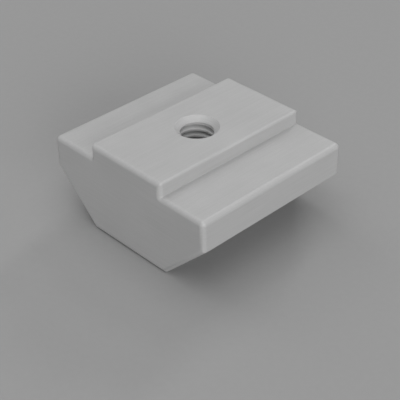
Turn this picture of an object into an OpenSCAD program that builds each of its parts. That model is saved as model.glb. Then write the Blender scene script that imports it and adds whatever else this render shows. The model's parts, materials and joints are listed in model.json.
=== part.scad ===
/* [Body] */
// Length along the slot
body_length = 18; // [12:0.5:40]
// Width over the two wings
body_width = 20; // [16:0.1:26]
// Width of the flat underside
bottom_width = 9.8; // [7:0.1:13]
// Height of the slanted flanks
flank_height = 5; // [3:0.1:8]
// Height of the upright sides of the wings
side_height = 3.2; // [2:0.1:6]

/* [Neck] */
// Width of the raised neck, which enters the slot
neck_width = 9.3; // [7:0.1:13]
// Height of the neck above the wings
neck_height = 1.4; // [1.2:0.1:4]

/* [Edges] */
// Radius round the outline of both ends and along the outer edges of the wings
edge_round = 0.5; // [0.2:0.05:1]
// Radius along the two long edges of the neck
neck_round = 0.25; // [0.1:0.05:0.6]
// Fillet in the inner corner between the neck and each wing
inner_round = 0.05; // [0.05:0.05:0.2]

/* [Thread] */
// Nominal diameter of the thread
thread_diameter = 4; // [3:0.5:5]
// Pitch of the thread
thread_pitch = 0.7; // [0.5:0.05:0.8]
// Width of each countersink from the bore's wall to its rim
countersink_width = 0.53; // [0.2:0.05:1]

/* [Hidden] */
$fn = 48;
wing_top = flank_height + side_height;
neck_top = wing_top + neck_height;
// Share of the pitch between the nominal and the minor radius of a 60 degree metric thread
thread_depth_share = 0.54127;
bore_radius = thread_diameter / 2 - thread_depth_share * thread_pitch;
// Lean of the flanks from upright
flank_lean = atan2((body_width - bottom_width) / 2, flank_height);
// Height inside the body from which the neck rises
neck_foot = wing_top / 2;
// How far cuts run past the faces that they start from
overshoot = 0.5;
// Longer than any line through the body
reach = 2 * (body_length + body_width + neck_top);

// Rectangle with its lower left corner at the origin and its four corners as true arcs
module rounded_rectangle(w, h, r) {
    translate([r, 0]) square([w - 2 * r, h]);
    translate([0, r]) square([w, h - 2 * r]);
    for (x = [r, w - r], y = [r, h - r])
        translate([x, y]) circle(r);
}

// Bar along X, standing on the XY plane and centred on the other two
module bar_x(length, height) {
    rotate([90, 0, 90])
        translate([-body_length / 2, 0, -length / 2])
            linear_extrude(length) rounded_rectangle(body_length, height, edge_round);
}

// Upright bar from the height z up, with its four upright edges rounded
module bar_z(width, z, height) {
    translate([-width / 2, -body_length / 2, z])
        linear_extrude(height) rounded_rectangle(width, body_length, edge_round);
}

// Everything on the inner side of one slanted flank
module inside_flank() {
    translate([body_width / 2, 0, flank_height])
        rotate([0, flank_lean, 0])
            translate([-reach, -reach / 2, -reach / 2]) cube(reach);
}

// Cutters that round both ends of the body along one slanted flank
module flank_end_cutters() {
    side = edge_round + overshoot;
    for (end = [-1, 1])
        translate([body_width / 2, end * (body_length / 2 - edge_round), flank_height])
            rotate([0, flank_lean, 0]) translate([-edge_round, 0, 0]) difference() {
                translate([0, end > 0 ? 0 : -side, -reach / 2]) cube([side, side, reach]);
                cylinder(h = reach, r = edge_round, center = true);
            }
}

// Half section of a rod of radius r, as long as the body, with the round of the ends round its own
module rod_section(r) {
    intersection() {
        translate([0, -body_length / 2]) square([r, body_length]);
        translate([r - body_length, -body_length / 2])
            rounded_rectangle(body_length, body_length, edge_round);
    }
}

// Cutter that rounds the long edge at x and z, and both its corners, to the radius r
module long_edge_cutter(x, z, r) {
    long = body_length + 2 * overshoot;
    wide = r + overshoot;
    translate([x - r, 0, z - r]) difference() {
        translate([0, -long / 2, 0]) cube([wide, long, wide]);
        rotate([90, 0, 0]) rotate_extrude() rod_section(r);
    }
}

// Wings and flanks, the part of the nut that sits under the lips of the slot
module wing_block() {
    difference() {
        intersection() {
            bar_x(body_width + 2 * overshoot, wing_top);
            bar_z(body_width, -overshoot, wing_top + 2 * overshoot);
            inside_flank();
            mirror([1, 0, 0]) inside_flank();
        }
        for (side = [0, 1]) mirror([side, 0, 0]) {
            flank_end_cutters();
            long_edge_cutter(body_width / 2, wing_top, edge_round);
        }
    }
}

// Half section of the cutter for an inner corner, a rod with flared ends
module inner_corner_section() {
    difference() {
        translate([0, -body_length / 2 - overshoot])
            square([inner_round + edge_round, body_length + 2 * overshoot]);
        translate([inner_round, -body_length / 2])
            rounded_rectangle(body_length, body_length, edge_round);
    }
}

// Fillet in one inner corner, with the round of the ends turning along it
module inner_corner() {
    side = inner_round + edge_round;
    translate([neck_width / 2 + inner_round, 0, wing_top + inner_round]) difference() {
        translate([-side, -body_length / 2, -side]) cube([side, body_length, side]);
        rotate([90, 0, 0]) rotate_extrude() inner_corner_section();
    }
}

// Raised neck with rounded upright corners, ends and long edges
module neck() {
    difference() {
        intersection() {
            bar_x(neck_width, neck_top);
            bar_z(neck_width, neck_foot, neck_top - neck_foot);
        }
        for (side = [0, 1]) mirror([side, 0, 0])
            long_edge_cutter(neck_width / 2, neck_top, neck_round);
    }
}

// Countersink with its rim in the XY plane, cut downwards
module countersink() {
    rim_radius = bore_radius + countersink_width;
    translate([0, 0, -countersink_width])
        cylinder(h = countersink_width + overshoot, r1 = bore_radius, r2 = rim_radius + overshoot);
}

// Bore at the thread's minor diameter, countersunk at the top and the bottom
module threaded_bore() {
    translate([0, 0, -overshoot]) cylinder(h = neck_top + 2 * overshoot, r = bore_radius);
    translate([0, 0, neck_top]) countersink();
    mirror([0, 0, 1]) countersink();
}

module slot_nut() {
    color([0.66, 0.66, 0.66]) difference() {
        union() {
            wing_block();
            neck();
            for (side = [0, 1]) mirror([side, 0, 0]) inner_corner();
        }
        threaded_bore();
    }
}

slot_nut();
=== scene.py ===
"""Looks of a T slot nut: a plated steel block with a threaded hole, standing on a plain floor."""

import json
import math

import bmesh
import bpy
from mathutils import Matrix, Vector


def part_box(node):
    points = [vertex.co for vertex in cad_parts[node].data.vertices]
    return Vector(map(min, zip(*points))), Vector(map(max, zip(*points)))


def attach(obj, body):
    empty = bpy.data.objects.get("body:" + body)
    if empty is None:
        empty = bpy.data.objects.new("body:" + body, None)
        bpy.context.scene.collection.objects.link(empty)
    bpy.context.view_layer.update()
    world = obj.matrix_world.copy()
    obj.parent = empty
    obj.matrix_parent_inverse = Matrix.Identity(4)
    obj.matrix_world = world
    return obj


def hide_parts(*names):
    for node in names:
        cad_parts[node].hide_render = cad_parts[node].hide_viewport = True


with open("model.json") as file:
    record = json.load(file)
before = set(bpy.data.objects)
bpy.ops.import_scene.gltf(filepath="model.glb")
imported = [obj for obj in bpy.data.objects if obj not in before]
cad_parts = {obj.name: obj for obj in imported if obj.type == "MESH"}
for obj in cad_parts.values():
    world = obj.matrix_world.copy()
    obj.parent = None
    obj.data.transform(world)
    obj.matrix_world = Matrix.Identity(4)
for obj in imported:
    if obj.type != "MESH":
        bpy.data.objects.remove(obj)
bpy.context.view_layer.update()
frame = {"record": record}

# Sizes of the block in metres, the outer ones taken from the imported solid
MM = 0.001
NODE = "slot_nut"
LOW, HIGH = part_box(NODE)
LENGTH = HIGH[1] - LOW[1]
WIDTH = HIGH[0] - LOW[0]
NECK_TOP = HIGH[2] - LOW[2]
BOTTOM_WIDTH = 9.8 * MM
FLANK_HEIGHT = 5 * MM
SIDE_HEIGHT = 3.2 * MM
WING_TOP = FLANK_HEIGHT + SIDE_HEIGHT
NECK_WIDTH = 9.3 * MM
EDGE_ROUND = 0.5 * MM
NECK_ROUND = 0.25 * MM
INNER_ROUND = 0.05 * MM

# Metric thread of 60 degrees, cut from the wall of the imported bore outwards
MOUNTS = {mount["name"]: mount for mount in frame["record"]["mounts"]}
BORE_RADIUS = MOUNTS["thread"]["dims"]["r_mm"] * MM
COUNTERSINK = (NECK_TOP - MOUNTS["thread"]["dims"]["length_mm"] * MM) / 2
PITCH = 0.7 * MM
# Depth of the grooves and widths of crest and root, as shares of the pitch
DEPTH_SHARE = 0.54127
CREST_SHARE = 1 / 4
ROOT_SHARE = 1 / 8
THREAD_DEPTH = DEPTH_SHARE * PITCH
# Height of the lower edge of a crest on the +X side, as a share of the pitch
THREAD_START = 0.27

# Way along the hole, in from each countersink, over which the thread's grey rises to its lighter deep grey:
# painted light against the shade in the hole
PAINTED_LIGHT_REACH = 0.7 * PITCH

# Numbers of facets, and the angle from which an edge is sharp
ROUND_STEPS = 12
SMALL_ROUND_STEPS = 6
TURN_STEPS = 128
CREST_STEPS = 3
FLANK_STEPS = 6
ROOT_STEPS = 2
SHARP_ANGLE = math.radians(24)

# Distance in metres within which two points are one
TOUCH = 1e-7

# Greys of the plate, the cut countersinks, the thread deep in the hole (lighter there: painted light), the
# thread's root (darker: painted shade) and the floor
PLATE_GREY = 0.41
CONE_GREY = 0.445
THREAD_PAINTED_LIGHT_GREY = 0.58
ROOT_PAINTED_SHADE_GREY = 0.51
FLOOR_GREY = 0.308

# Fineness of each noise, in waves per metre
CLOUD_SCALE = 260
GRAIN_SCALE = 17000
DRAWN_SCALE = 9000
SAWN_SCALE = 7000
TURNED_SCALE = 16000
FIBRE_SCALE = 1500

# Stretch of the tool marks, smallest along their lines
DRAWN_STRETCH = (1, 0.02, 1)
SAWN_STRETCH = (0.02, 1, 1)
TURNED_STRETCH = (0.05, 0.05, 1)

# How far each thing changes the grey, as a share of it
CLOUD_TONE = 0.02
GRAIN_TONE = 0.04
MARK_TONE = 0.04
# The wear tone lightens the outer rounds: part wear, part painted highlight
WEAR_AND_HIGHLIGHT_TONE = 0.03
FIBRE_TONE = 0.01

# Strength of each finer layer of a noise, as a share of the layer before it
NOISE_ROUGHNESS = 0.55

# Roughness of the plate in its clouds, and what tool marks and wear change in it
PLATE_ROUGHNESS = (0.5, 0.58)
MARK_ROUGHNESS = 0.05
WEAR_ROUGHNESS = -0.12

# How metallic the plate is, and how strong its gloss is
PLATE_METALLIC = 0.08
PLATE_SPECULAR = 0.25

# Height and strength of the bumps of tool marks and grain
MARK_BUMP = (0.004 * MM, 0.8)
GRAIN_BUMP = (0.003 * MM, 0.6)

# Ranges that a value is read over: all of it, the middle of a noise, the part of a thread's depth
# where painted shade sets in, and the lean of a face between the bar's long faces and its sawn ends
WHOLE = (0, 1)
NOISE_MIDDLE = (0.3, 0.7)
PAINTED_SHADE_DEPTH = (0.4, 0.9)
END_LEAN = (0.7, 0.95)

# Far lights: name, azimuth from +X towards +Y, elevation and width of the disc in degrees, strength
LIGHTS = [
    ("key_low", 324, 12, 30, 1.03),
    ("key_right", 345, 15, 40, 1.1),
    ("key_high", 320, 54, 16, 0.21),
    ("front", 270, 56, 40, 0.21),
    ("overhead", 0, 90, 60, 0.97),
    ("left", 180, 40, 40, 0.42),
    ("back_low", 110, 29, 10, 0.43),
    ("back_high", 110, 47, 10, 0.2),
]
ROOM_GREY = 0.25


# Outline of the block's section

def section_corners():
    """Corners (x, z, radius, steps) of the section, counterclockwise from the foot of the right flank."""
    right = [
        (BOTTOM_WIDTH / 2, 0, 0, 0),
        (WIDTH / 2, FLANK_HEIGHT, 0, 0),
        (WIDTH / 2, WING_TOP, EDGE_ROUND, ROUND_STEPS),
        (NECK_WIDTH / 2, WING_TOP, INNER_ROUND, SMALL_ROUND_STEPS),
        (NECK_WIDTH / 2, NECK_TOP, NECK_ROUND, SMALL_ROUND_STEPS),
    ]
    return right + [(-x, z, radius, steps) for x, z, radius, steps in reversed(right)]


def inset_outline(depth):
    """Points (place, wear and painted highlight) of the section moved inwards by depth.

    Outer rounds get tighter with the depth and inner ones wider. Wear and painted highlight is 1 in the
    middle of a round.
    """
    corners = section_corners()
    points = []
    for number, (x, z, radius, steps) in enumerate(corners):
        corner = Vector((x, z))
        before = (corner - Vector(corners[number - 1][:2])).normalized()
        after = (Vector(corners[(number + 1) % len(corners)][:2]) - corner).normalized()
        inwards_before = Vector((-before.y, before.x))
        inwards_after = Vector((-after.y, after.x))
        middle = (inwards_before + inwards_after) / (1 + inwards_before.dot(inwards_after))
        turn = before.angle_signed(after)
        inner = turn > 0
        rounding = radius + depth if inner else max(radius - depth, 0)
        side = -1 if inner else 1
        centre = corner + middle * (depth + side * rounding)
        for step in range(steps + 1):
            towards_wall = -side * inwards_before
            towards_wall.rotate(Matrix.Rotation(-turn * step / max(steps, 1), 2))
            edge_wear_and_highlight = 0 if inner or not steps else math.sin(math.pi * step / steps)
            points.append((centre + towards_wall * rounding, edge_wear_and_highlight))
    return points


# Hole with its countersinks and thread

def thread_lines():
    """Places (share of a turn's rise, depth) of the lines that follow the thread within one pitch."""
    flank_share = (1 - CREST_SHARE - ROOT_SHARE) / 2
    stretches = [
        (CREST_SHARE, 0, 0, CREST_STEPS),
        (flank_share, 0, THREAD_DEPTH, FLANK_STEPS),
        (ROOT_SHARE, THREAD_DEPTH, THREAD_DEPTH, ROOT_STEPS),
        (flank_share, THREAD_DEPTH, 0, FLANK_STEPS),
    ]
    lines = []
    start = 0
    for share, depth_from, depth_to, steps in stretches:
        for step in range(steps):
            part = step / steps
            lines.append((start + share * part, depth_from + (depth_to - depth_from) * part))
        start += share
    return lines


def hole_columns():
    """Columns of (point, groove, painted light depth) up the hole's wall, and the number of lines in a pitch.

    There is a column for each step of the turn. Groove is 1 at the thread's root, and painted light depth is
    1 where the thread's grey is fully lightened deep in the hole, as painted light.
    """
    lines = thread_lines()
    turns = math.ceil(NECK_TOP / PITCH) + 1
    low, high = COUNTERSINK, NECK_TOP - COUNTERSINK
    columns = []
    for step in range(TURN_STEPS):
        share = step / TURN_STEPS
        angle = 2 * math.pi * share
        column = []
        for turn in range(-1, turns):
            for rise, depth in lines:
                z = (turn + THREAD_START + share + rise) * PITCH
                if not low < z < high:
                    z, depth = min(max(z, low), high), 0
                radius = BORE_RADIUS + depth
                point = Vector((radius * math.cos(angle), radius * math.sin(angle), z))
                # Painted light: the thread's grey rises with depth into the hole, against the shade there
                painted_light_depth = min(1, (z - low) / PAINTED_LIGHT_REACH, (high - z) / PAINTED_LIGHT_REACH)
                column.append((point, depth / THREAD_DEPTH, painted_light_depth))
        columns.append(column)
    return columns, len(lines)


# The block as one mesh

def stations():
    """Places (depth, y, fade) of the section along the block.

    At each end the section moves inwards by the depth as its edges round over, and wear and painted highlight
    fade out there.
    """
    end = []
    for step in range(ROUND_STEPS + 1):
        angle = math.pi / 2 * step / ROUND_STEPS
        depth = EDGE_ROUND * (1 - math.cos(angle))
        end.append((depth, LENGTH / 2 - EDGE_ROUND * (1 - math.sin(angle)), math.cos(angle)))
    return [(depth, -y, fade) for depth, y, fade in reversed(end)] + end


def in_plane(verts, z):
    """Whether all the points lie at height z."""
    return all(abs(vert.co.z - z) < TOUCH for vert in verts)


def add_shell(bm):
    """Adds the outside of the block, with the plane faces round the hole's two mouths left open."""
    wear_and_highlight_layer = bm.verts.layers.float.new("wear_and_highlight")
    rings = []
    for depth, y, fade in stations():
        rings.append([])
        for point, edge_wear_and_highlight in inset_outline(depth):
            vert = bm.verts.new((point.x, y, point.y))
            # Wear and painted highlight along the outer rounds, fading out at the ends
            vert[wear_and_highlight_layer] = edge_wear_and_highlight * fade
            rings[-1].append(vert)
    count = len(rings[0])
    middle = len(rings) // 2
    for number in range(1, len(rings)):
        ring, last = rings[number], rings[number - 1]
        for place in range(count):
            beside = (place + 1) % count
            edge = (ring[place], ring[beside])
            if number == middle and (in_plane(edge, 0) or in_plane(edge, NECK_TOP)):
                continue
            bm.faces.new((last[place], last[beside], ring[beside], ring[place]))
    bm.faces.new(rings[0])
    bm.faces.new(reversed(rings[-1]))


def add_hole(bm):
    """Adds the wall of the hole: the thread and a countersink at each end of it."""
    columns, pitch_lines = hole_columns()
    groove_layer = bm.verts.layers.float.new("groove")
    painted_light_depth_layer = bm.verts.layers.float.new("painted_light_depth")
    turned_layer = bm.faces.layers.float.new("turned")
    verts = []
    for column in columns:
        verts.append([])
        for point, groove, painted_light_depth in column:
            vert = bm.verts.new(point)
            vert[groove_layer] = groove
            vert[painted_light_depth_layer] = painted_light_depth
            verts[-1].append(vert)
    rows = len(verts[0])
    for step in range(TURN_STEPS):
        wraps = step == TURN_STEPS - 1
        here = verts[step]
        beside = verts[0] if wraps else verts[step + 1]
        shift = pitch_lines if wraps else 0
        for row in range(rows - shift - 1):
            face = bm.faces.new((here[row], here[row + 1], beside[row + 1 + shift], beside[row + shift]))
            face[turned_layer] = 1
    rim_radius = BORE_RADIUS + COUNTERSINK
    for end, rim_z in ((0, 0), (-1, NECK_TOP)):
        inner = [column[end] for column in verts]
        rim = []
        for step in range(TURN_STEPS):
            angle = 2 * math.pi * step / TURN_STEPS
            rim.append(bm.verts.new((rim_radius * math.cos(angle), rim_radius * math.sin(angle), rim_z)))
        for step in range(TURN_STEPS):
            beside = (step + 1) % TURN_STEPS
            face = bm.faces.new((inner[step], inner[beside], rim[beside], rim[step]))
            face[turned_layer] = 1


def close_plane(bm, z):
    """Fills the plane face at height z between the block's edges and the hole's rim."""
    edges = [edge for edge in bm.edges if len(edge.link_faces) == 1 and in_plane(edge.verts, z)]
    bmesh.ops.triangle_fill(bm, use_beauty=True, edges=edges, normal=(0, 0, 1))


def nut_mesh():
    """The whole nut as one closed mesh."""
    bm = bmesh.new()
    add_shell(bm)
    add_hole(bm)
    bmesh.ops.remove_doubles(bm, verts=bm.verts, dist=TOUCH)
    close_plane(bm, NECK_TOP)
    close_plane(bm, 0)
    bmesh.ops.recalc_face_normals(bm, faces=bm.faces)
    for face in bm.faces:
        face.smooth = True
    for edge in bm.edges:
        edge.smooth = edge.calc_face_angle(0) < SHARP_ANGLE
    open_edges = sum(1 for edge in bm.edges if len(edge.link_faces) != 2)
    print("nut mesh:", len(bm.faces), "faces,", open_edges, "open edges")
    mesh = bpy.data.meshes.new("nut_surface")
    bm.to_mesh(mesh)
    bm.free()
    return mesh


# Materials

def new_material(name):
    """An empty material with its node tree, shader and output."""
    material = bpy.data.materials.new(name)
    material.use_nodes = True
    nodes = material.node_tree.nodes
    nodes.clear()
    shader = nodes.new("ShaderNodeBsdfPrincipled")
    output = nodes.new("ShaderNodeOutputMaterial")
    material.node_tree.links.new(shader.outputs["BSDF"], output.inputs["Surface"])
    return material, nodes, material.node_tree.links, shader


def noise(nodes, links, place, scale, detail, stretch=(1, 1, 1)):
    """Noise that is fixed in the piece, with its scale in waves per metre; its mean is about a half."""
    mapping = nodes.new("ShaderNodeMapping")
    mapping.inputs["Scale"].default_value = stretch
    texture = nodes.new("ShaderNodeTexNoise")
    texture.inputs["Scale"].default_value = scale
    texture.inputs["Detail"].default_value = detail
    texture.inputs["Roughness"].default_value = NOISE_ROUGHNESS
    links.new(place, mapping.inputs["Vector"])
    links.new(mapping.outputs["Vector"], texture.inputs["Vector"])
    return texture.outputs["Fac"]


def spread(nodes, links, value, low, high, read=NOISE_MIDDLE):
    """The part of the value that is read, stretched to run from low to high."""
    node = nodes.new("ShaderNodeMapRange")
    node.inputs["From Min"].default_value = read[0]
    node.inputs["From Max"].default_value = read[1]
    node.inputs["To Min"].default_value = low
    node.inputs["To Max"].default_value = high
    links.new(value, node.inputs["Value"])
    return node.outputs["Result"]


def around(nodes, links, value, middle, share):
    """The noise stretched to run from a share under the middle to a share over it."""
    return spread(nodes, links, value, middle * (1 - share), middle * (1 + share))


def combined(nodes, links, operation, first, second):
    """The two values added or multiplied, as the operation says."""
    node = nodes.new("ShaderNodeMath")
    node.operation = operation
    links.new(first, node.inputs[0])
    links.new(second, node.inputs[1])
    return node.outputs["Value"]


def grey(nodes, links, value):
    """A grey colour from a value."""
    node = nodes.new("ShaderNodeCombineColor")
    for channel in ("Red", "Green", "Blue"):
        links.new(value, node.inputs[channel])
    return node.outputs["Color"]


def bump(nodes, links, height, distance, strength, under=None):
    """A normal bent by the height, on top of another bump where one is given."""
    node = nodes.new("ShaderNodeBump")
    node.inputs["Distance"].default_value = distance
    node.inputs["Strength"].default_value = strength
    links.new(height, node.inputs["Height"])
    if under:
        links.new(under, node.inputs["Normal"])
    return node.outputs["Normal"]


def attribute(nodes, name):
    """A value that the mesh carries."""
    node = nodes.new("ShaderNodeAttribute")
    node.attribute_name = name
    return node.outputs["Fac"]


def end_faces(nodes, links, coordinates):
    """1 on the two sawn ends of the bar, 0 on the drawn faces along it."""
    parts = nodes.new("ShaderNodeSeparateXYZ")
    links.new(coordinates.outputs["Normal"], parts.inputs["Vector"])
    size = nodes.new("ShaderNodeMath")
    size.operation = "ABSOLUTE"
    links.new(parts.outputs["Y"], size.inputs[0])
    return spread(nodes, links, size.outputs["Value"], 0.0, 1.0, END_LEAN)


def either(nodes, links, share, first, second):
    """The first value where the share is 0, the second where it is 1."""
    node = nodes.new("ShaderNodeMix")
    links.new(share, node.inputs["Factor"])
    links.new(first, node.inputs["A"])
    links.new(second, node.inputs["B"])
    return node.outputs["Result"]


def steel_material():
    """Matte zinc plate over drawn, sawn and turned steel, burnished and with a painted highlight on the long
    edges, its thread lighter deep in the hole (painted light) and darker at its root (painted shade).
    """
    material, nodes, links, shader = new_material("matte_steel")
    coordinates = nodes.new("ShaderNodeTexCoord")
    place = coordinates.outputs["Object"]
    clouds = noise(nodes, links, place, CLOUD_SCALE, 3)
    grain = noise(nodes, links, place, GRAIN_SCALE, 2)
    drawn = noise(nodes, links, place, DRAWN_SCALE, 3, DRAWN_STRETCH)
    sawn = noise(nodes, links, place, SAWN_SCALE, 3, SAWN_STRETCH)
    turned = noise(nodes, links, place, TURNED_SCALE, 2, TURNED_STRETCH)
    wear_and_highlight = attribute(nodes, "wear_and_highlight")
    marks = either(nodes, links, end_faces(nodes, links, coordinates), drawn, sawn)
    cut = attribute(nodes, "turned")
    marks = either(nodes, links, cut, marks, turned)

    tone = around(nodes, links, clouds, PLATE_GREY, CLOUD_TONE)
    changes = [
        around(nodes, links, grain, 1, GRAIN_TONE),
        around(nodes, links, marks, 1, MARK_TONE),
        # Wear and painted highlight: the outer rounds are lighter
        spread(nodes, links, wear_and_highlight, 1, 1 + WEAR_AND_HIGHLIGHT_TONE, WHOLE),
        spread(nodes, links, cut, 1, CONE_GREY / PLATE_GREY, WHOLE),
        # Painted light: the thread is lighter deeper in the hole
        spread(nodes, links, attribute(nodes, "painted_light_depth"), 1, THREAD_PAINTED_LIGHT_GREY / CONE_GREY, WHOLE),
        # Painted shade: the thread darkens towards the root of its groove
        spread(nodes, links, attribute(nodes, "groove"), 1, ROOT_PAINTED_SHADE_GREY / THREAD_PAINTED_LIGHT_GREY, PAINTED_SHADE_DEPTH),
    ]
    for change in changes:
        tone = combined(nodes, links, "MULTIPLY", tone, change)
    links.new(grey(nodes, links, tone), shader.inputs["Base Color"])

    roughness = spread(nodes, links, clouds, *PLATE_ROUGHNESS)
    changes = [
        spread(nodes, links, marks, -MARK_ROUGHNESS, MARK_ROUGHNESS),
        spread(nodes, links, wear_and_highlight, 0, WEAR_ROUGHNESS, WHOLE),
    ]
    for change in changes:
        roughness = combined(nodes, links, "ADD", roughness, change)
    links.new(roughness, shader.inputs["Roughness"])

    lines = bump(nodes, links, marks, *MARK_BUMP)
    links.new(bump(nodes, links, grain, *GRAIN_BUMP, lines), shader.inputs["Normal"])
    shader.inputs["Metallic"].default_value = PLATE_METALLIC
    shader.inputs["Specular IOR Level"].default_value = PLATE_SPECULAR
    return material


def floor_material():
    """Plain matte grey paper with a hardly visible grain."""
    material, nodes, links, shader = new_material("floor_grey")
    place = nodes.new("ShaderNodeTexCoord").outputs["Object"]
    fibres = noise(nodes, links, place, FIBRE_SCALE, 3)
    tone = around(nodes, links, fibres, FLOOR_GREY, FIBRE_TONE)
    links.new(grey(nodes, links, tone), shader.inputs["Base Color"])
    shader.inputs["Roughness"].default_value = 1.0
    shader.inputs["Specular IOR Level"].default_value = 0.0
    return material


# Piece, floor, camera and light

def add_object(name, data):
    """A new object in the scene."""
    item = bpy.data.objects.new(name, data)
    bpy.context.scene.collection.objects.link(item)
    return item


def add_nut():
    """The nut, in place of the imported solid; its flat faces are shaded flat up to their rounds."""
    nut = add_object("nut_body", nut_mesh())
    nut.data.materials.append(steel_material())
    weighted = nut.modifiers.new("flat_faces_shade_flat", "WEIGHTED_NORMAL")
    weighted.keep_sharp = True
    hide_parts(NODE)
    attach(nut, "root")


def add_floor():
    """A square metre of floor at height 0."""
    half = 0.5
    corners = [(-half, -half, 0), (half, -half, 0), (half, half, 0), (-half, half, 0)]
    mesh = bpy.data.meshes.new("floor_surface")
    mesh.from_pydata(corners, [], [(0, 1, 2, 3)])
    floor = add_object("floor", mesh)
    floor.data.materials.append(floor_material())


def add_camera():
    """Camera on the isometric direction, a little off the picture's middle, as in a cropped picture."""
    picture = 400
    focal_px = 1080.0
    centre_px = (221.44, 201.56)
    azimuth = math.radians(45)
    elevation = math.atan(math.sqrt(0.5))
    aside, lift, distance = 2.27 * MM, 0.86 * MM, 105.9 * MM
    back = Vector((
        math.sin(azimuth) * math.cos(elevation),
        -math.cos(azimuth) * math.cos(elevation),
        math.sin(elevation),
    ))
    right = Vector((math.cos(azimuth), math.sin(azimuth), 0))
    up = back.cross(right)
    data = bpy.data.cameras.new("camera")
    data.sensor_width = 36
    data.lens = focal_px / picture * data.sensor_width
    data.shift_x = (picture / 2 - centre_px[0]) / picture
    data.shift_y = (centre_px[1] - picture / 2) / picture
    data.clip_start = 1 * MM
    data.clip_end = 10
    camera = add_object("camera", data)
    camera.matrix_world = Matrix((right, up, back)).transposed().to_4x4()
    camera.location = right * aside + up * lift + back * distance
    bpy.context.scene.camera = camera


def add_sun(name, azimuth, elevation, width, strength):
    """One far light of the list above."""
    data = bpy.data.lights.new(name, "SUN")
    data.energy = strength
    data.angle = math.radians(width)
    turn, rise = math.radians(azimuth), math.radians(elevation)
    towards = Vector((math.cos(turn) * math.cos(rise), math.sin(turn) * math.cos(rise), math.sin(rise)))
    add_object(name, data).rotation_euler = towards.to_track_quat("Z", "Y").to_euler()


def add_light():
    """The room's even light and the far lights."""
    world = bpy.data.worlds.new("room")
    world.use_nodes = True
    background = world.node_tree.nodes["Background"]
    background.inputs["Color"].default_value = (ROOM_GREY, ROOM_GREY, ROOM_GREY, 1)
    bpy.context.scene.world = world
    for light in LIGHTS:
        add_sun(*light)
    bpy.context.scene.view_settings.view_transform = "Standard"


add_nut()
add_floor()
add_camera()
add_light()
